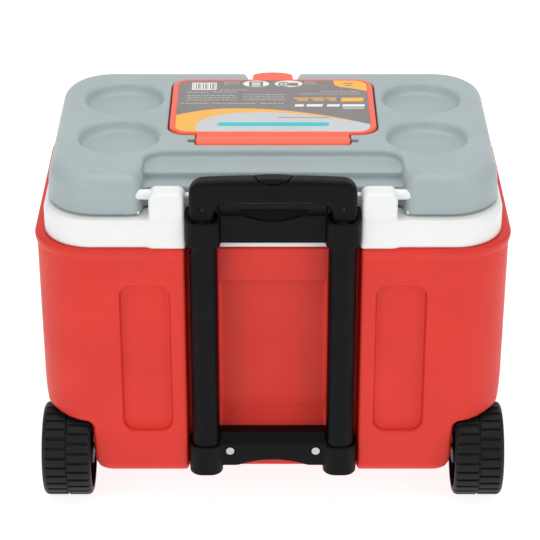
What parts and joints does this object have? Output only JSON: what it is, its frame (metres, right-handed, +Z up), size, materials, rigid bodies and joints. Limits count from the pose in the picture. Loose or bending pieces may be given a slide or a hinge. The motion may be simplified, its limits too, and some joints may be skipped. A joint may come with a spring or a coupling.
{
  "type": "cooler chest",
  "caption": "Wheeled insulated cooler chest with a hinged lid, an access hatch, cup recesses and a telescopic trolley handle.",
  "frame": {"origin": "on the floor under the middle of the chest's bounding box", "axes": "+X to the right seen from the trolley side, +Y from the trolley side to the far side, +Z up"},
  "size_m": [0.516, 0.34, 0.3983],
  "materials": {
    "red_shell": "fine-grained moulded polyethylene",
    "white_liner": "smooth moulded polyethylene",
    "grey_lid": "satin moulded polyethylene",
    "coral_hatch": "satin moulded plastic",
    "label_graphic": "printed glossy film",
    "black_plastic": "satin moulded plastic",
    "black_tube": "powder coated",
    "bare_tube": "drawn, anodised",
    "wheel_plastic": "blow moulded, fine grain",
    "steel": "zinc plated",
    "foam": "rigid insulating foam",
    "seal_rubber": "soft"
  },
  "bodies": {
    "chest": {"outer_shell": "red_shell", "body_insulation": "foam", "inner_liner": "white_liner", "drain_spout": "white_liner", "lid_hinge_pin_left": "white_liner", "lid_hinge_pin_right": "white_liner", "wheel_axle": "steel", "axle_cap_left": "black_plastic", "axle_cap_right": "black_plastic", "trolley_top_bracket": "black_plastic", "trolley_bottom_bracket": "black_plastic", "bracket_screws": "steel", "outer_tube_left": "black_tube", "outer_tube_right": "black_tube"},
    "wheel_left": {"wheel_left": "wheel_plastic"},
    "wheel_right": {"wheel_right": "wheel_plastic"},
    "lid": {"lid_top": "grey_lid", "lid_liner": "white_liner", "lid_insulation": "foam", "hatch_hinge_rod": "steel"},
    "hatch": {"hatch_frame": "coral_hatch", "hatch_label_panel": "label_graphic", "hatch_plug": "white_liner", "hatch_insulation": "foam", "hatch_seal": "seal_rubber"},
    "middle_stage": {"middle_tube_left": "bare_tube", "middle_tube_right": "bare_tube", "middle_tube_plug_left": "black_plastic", "middle_tube_plug_right": "black_plastic"},
    "grip_stage": {"inner_tube_left": "bare_tube", "inner_tube_right": "bare_tube", "inner_tube_plug_left": "black_plastic", "inner_tube_plug_right": "black_plastic", "handle_grip": "black_plastic", "grip_screws": "steel", "button_spring": "steel"},
    "release": {"release_button": "black_plastic", "release_bar": "black_plastic", "push_rod_left": "steel", "push_rod_right": "steel"},
    "lock_pin_left": {"lock_pin_left": "steel"},
    "lock_pin_right": {"lock_pin_right": "steel"},
    "drain_cap": {"drain_cap": "black_plastic"}
  },
  "joints": [
    {"name": "lid_hinge", "type": "hinge", "parent": "chest", "child": "lid", "pos_m": [0, -0.13, 0.3705], "axis": [1, 0, 0], "range_deg": [0, 84]},
    {"name": "hatch_hinge", "type": "hinge", "parent": "lid", "child": "hatch", "pos_m": [0, -0.039, 0.3845], "axis": [1, 0, 0], "range_deg": [0, 110]},
    {"name": "handle_lower_slide", "type": "slide", "parent": "chest", "child": "middle_stage", "axis": [0, 0, -1], "range_m": [-0.21, 0]},
    {"name": "handle_upper_slide", "type": "slide", "parent": "middle_stage", "child": "grip_stage", "axis": [0, 0, -1], "range_m": [-0.21, 0]},
    {"name": "button_press", "type": "slide", "parent": "grip_stage", "child": "release", "axis": [0, 0, -1], "range_m": [0, 0.0035], "stiffness_N_per_m": 800, "springref_m": -0.003, "deforming": ["button_spring"]},
    {"name": "lock_pin_left_slide", "type": "slide", "parent": "grip_stage", "child": "lock_pin_left", "axis": [1, 0, 0], "range_m": [0, 0.003]},
    {"name": "lock_pin_right_slide", "type": "slide", "parent": "grip_stage", "child": "lock_pin_right", "axis": [-1, 0, 0], "range_m": [0, 0.003]},
    {"name": "wheel_left_spin", "type": "hinge", "parent": "chest", "child": "wheel_left", "pos_m": [-0.227, -0.118, 0.052], "axis": [1, 0, 0], "continuous": true},
    {"name": "wheel_right_spin", "type": "hinge", "parent": "chest", "child": "wheel_right", "pos_m": [0.227, -0.118, 0.052], "axis": [1, 0, 0], "continuous": true},
    {"name": "drain_cap_pull", "type": "slide", "parent": "chest", "child": "drain_cap", "axis": [0, 1, 0], "range_m": [0, 0.03]}
  ],
  "couplings": [
    {"joint": "lock_pin_left_slide", "follows": "button_press", "ratio": 0.85714},
    {"joint": "lock_pin_right_slide", "follows": "button_press", "ratio": 0.85714}
  ]
}
